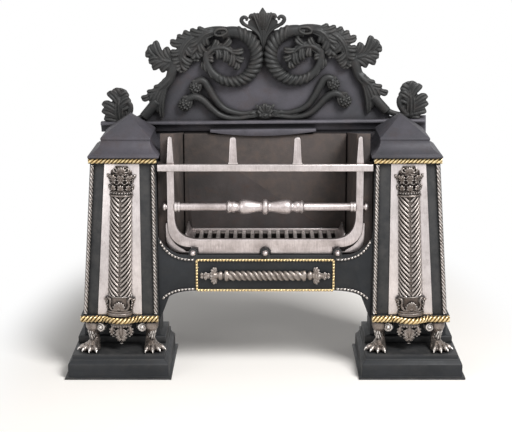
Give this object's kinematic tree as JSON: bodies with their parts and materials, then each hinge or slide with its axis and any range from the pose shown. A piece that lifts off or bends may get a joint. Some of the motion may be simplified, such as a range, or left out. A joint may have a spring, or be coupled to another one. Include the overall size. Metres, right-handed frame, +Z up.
{
  "type": "fireplace",
  "caption": "Free-standing cast iron fireplace with pylons on paw feet, a steel fire basket over a beaded apron, a lift-out grate and a scrolled acanthus crest.",
  "frame": {"origin": "middle of the bounding box on the floor", "axes": "+X to the right as seen from the front, +Y to the back, +Z up"},
  "size_m": [0.96, 0.258, 0.8696],
  "materials": {
    "black_iron": "black-leaded cast iron with a soft blue sheen",
    "grey_iron": "burnished dark grey cast iron",
    "burnt_iron": "matt cast iron browned by fire",
    "polished_steel": "polished bright steel",
    "silvered": "silvered castings with dark recesses",
    "gilt": "gilt castings, worn bright on the high parts"
  },
  "bodies": {
    "frame": {"apron_plate": "black_iron", "back_plate": "grey_iron", "basket_frame": "polished_steel", "cornice": "grey_iron", "crest_anthemion": "grey_iron", "crest_festoon": "grey_iron", "fireback": "burnt_iron", "left_base_moulding": "gilt", "left_cap": "grey_iron", "left_capital": "silvered", "left_cheek": "burnt_iron", "left_column_base": "silvered", "left_column_shaft": "silvered", "left_crest_arm": "grey_iron", "left_crest_scroll": "grey_iron", "left_end_knob": "polished_steel", "left_inner_paw": "silvered", "left_inner_rope": "silvered", "left_lower_beads": "silvered", "left_nut": "polished_steel", "left_outer_paw": "silvered", "left_outer_rope": "silvered", "left_pedestal": "black_iron", "left_pendant": "silvered", "left_plinth": "black_iron", "left_pylon_casing": "black_iron", "left_spike": "polished_steel", "left_steel_facing": "polished_steel", "left_top_moulding": "gilt", "left_upper_beads": "silvered", "middle_bar": "polished_steel", "middle_nut": "polished_steel", "mount_plate": "polished_steel", "panel_frame": "gilt", "right_base_moulding": "gilt", "right_cap": "grey_iron", "right_capital": "silvered", "right_cheek": "burnt_iron", "right_column_base": "silvered", "right_column_shaft": "silvered", "right_crest_arm": "grey_iron", "right_crest_scroll": "grey_iron", "right_end_knob": "polished_steel", "right_inner_paw": "silvered", "right_inner_rope": "silvered", "right_lower_beads": "silvered", "right_nut": "polished_steel", "right_outer_paw": "silvered", "right_outer_rope": "silvered", "right_pedestal": "black_iron", "right_pendant": "silvered", "right_plinth": "black_iron", "right_pylon_casing": "black_iron", "right_spike": "polished_steel", "right_steel_facing": "polished_steel", "right_top_moulding": "gilt", "right_upper_beads": "silvered", "staff_ornament": "silvered", "top_bar": "polished_steel"},
    "grate": {"bottom_grate": "burnt_iron"}
  },
  "joints": [
    {"name": "grate_lift", "type": "slide", "parent": "frame", "child": "grate", "axis": [0, 0, 1], "range_m": [0, 0.15]}
  ]
}
